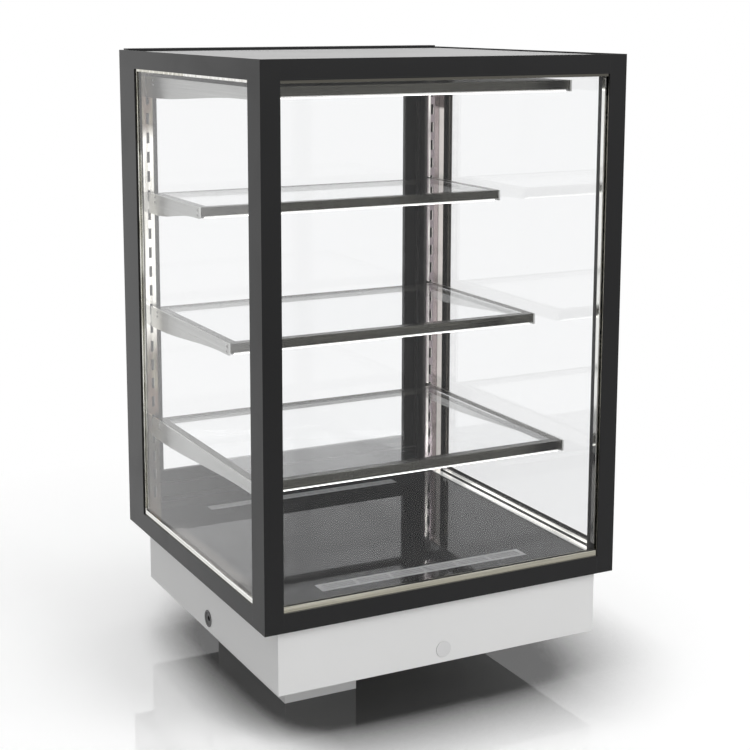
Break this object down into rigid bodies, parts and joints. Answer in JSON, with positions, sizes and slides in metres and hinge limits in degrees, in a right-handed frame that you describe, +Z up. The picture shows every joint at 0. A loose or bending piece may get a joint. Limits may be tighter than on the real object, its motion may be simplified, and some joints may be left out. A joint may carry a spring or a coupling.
{
  "type": "heated display case",
  "caption": "Drop-in heated display case for a shop counter: square framed glass case with a rear door, hooked shelves, a deck with air slots and a plinth that drops through the counter.",
  "frame": {"origin": "middle of the case's plan, in the plane of the counter top that the frame rests on", "axes": "+X to the right and +Y to the rear, seen from the customer's side; +Z up"},
  "size_m": [0.6, 0.625, 0.9943],
  "materials": {
    "black_frame": "satin black powder coat",
    "clear_glass": "clear toughened glass",
    "polished_steel": "polished stainless steel",
    "satin_steel": "brushed stainless steel",
    "dark_steel": "brushed steel, darker",
    "light_lens": "diffusing lens, a continuous line of light",
    "black_glass": "black glass, glossy",
    "grille_grey": "light grey powder coat",
    "pale_sheet": "pale grey coated sheet",
    "plain_sheet": "plain sheet steel",
    "element_sheath": "oxidised steel sheath",
    "insulation": "mineral fibre mat",
    "seal_rubber": "matte black",
    "black_plastic": "black moulded plastic",
    "display_window": "dark tinted window",
    "handle_steel": "satin stainless steel"
  },
  "bodies": {
    "case": {"corner_posts": "black_frame", "top_rails": "black_frame", "bottom_rails": "black_frame", "rear_rails": "black_frame", "front_glass": "clear_glass", "left_glass": "clear_glass", "right_glass": "clear_glass", "lower_shelf_glass": "clear_glass", "middle_shelf_glass": "clear_glass", "upper_shelf_glass": "clear_glass", "front_glass_channels": "polished_steel", "side_glass_channels": "polished_steel", "ceiling_liner": "polished_steel", "left_upright": "satin_steel", "right_upright": "satin_steel", "lower_shelf_arms": "satin_steel", "middle_shelf_arms": "satin_steel", "upper_shelf_arms": "satin_steel", "canopy_arms": "satin_steel", "canopy_panel": "satin_steel", "lower_shelf_frame": "dark_steel", "middle_shelf_frame": "dark_steel", "upper_shelf_frame": "dark_steel", "canopy_frame": "dark_steel", "lower_shelf_light": "light_lens", "middle_shelf_light": "light_lens", "upper_shelf_light": "light_lens", "canopy_light": "light_lens", "deck_glass": "black_glass", "air_grilles": "grille_grey", "plinth": "pale_sheet", "roof_panel": "pale_sheet", "control_box": "pale_sheet", "control_box_lid": "pale_sheet", "fan_baffle": "plain_sheet", "element_supports": "plain_sheet", "temperature_probe": "plain_sheet", "light_driver": "plain_sheet", "heating_element": "element_sheath", "insulation_mat": "insulation", "glazing_seals": "seal_rubber", "fan_housing": "black_plastic", "controller": "black_plastic", "rocker_housings": "black_plastic", "cord_gland": "black_plastic", "entry_plugs": "black_plastic", "controller_display": "display_window", "frame_hinges": "handle_steel"},
    "door": {"door_frame": "black_frame", "door_glass": "clear_glass", "door_gasket": "seal_rubber", "door_handle": "handle_steel", "door_hinges": "handle_steel"},
    "fan": {"fan_impeller": "black_plastic"},
    "key_up": {"key_up": "black_plastic"},
    "key_set": {"key_set": "black_plastic"},
    "key_down": {"key_down": "black_plastic"},
    "mains_rocker": {"mains_rocker": "black_plastic"},
    "light_rocker": {"light_rocker": "black_plastic"}
  },
  "joints": [
    {"name": "door_hinge", "type": "hinge", "parent": "case", "child": "door", "pos_m": [0.29225, 0.2969, 0.42], "axis": [0, 0, -1], "range_deg": [0, 110]},
    {"name": "fan_spin", "type": "hinge", "parent": "case", "child": "fan", "pos_m": [0, 0.122, -0.038], "axis": [0, 1, 0], "continuous": true},
    {"name": "key_up_press", "type": "slide", "parent": "case", "child": "key_up", "axis": [0, -1, 0], "range_m": [0, 0.0008], "stiffness_N_per_m": 400, "springref_m": -0.0006},
    {"name": "key_set_press", "type": "slide", "parent": "case", "child": "key_set", "axis": [0, -1, 0], "range_m": [0, 0.0008], "stiffness_N_per_m": 400, "springref_m": -0.0006},
    {"name": "key_down_press", "type": "slide", "parent": "case", "child": "key_down", "axis": [0, -1, 0], "range_m": [0, 0.0008], "stiffness_N_per_m": 400, "springref_m": -0.0006},
    {"name": "mains_rocker_tilt", "type": "hinge", "parent": "case", "child": "mains_rocker", "pos_m": [-0.152, 0.1265, -0.1605], "axis": [1, 0, 0], "range_deg": [0, 18]},
    {"name": "light_rocker_tilt", "type": "hinge", "parent": "case", "child": "light_rocker", "pos_m": [-0.12, 0.1265, -0.1605], "axis": [1, 0, 0], "range_deg": [0, 18]}
  ]
}
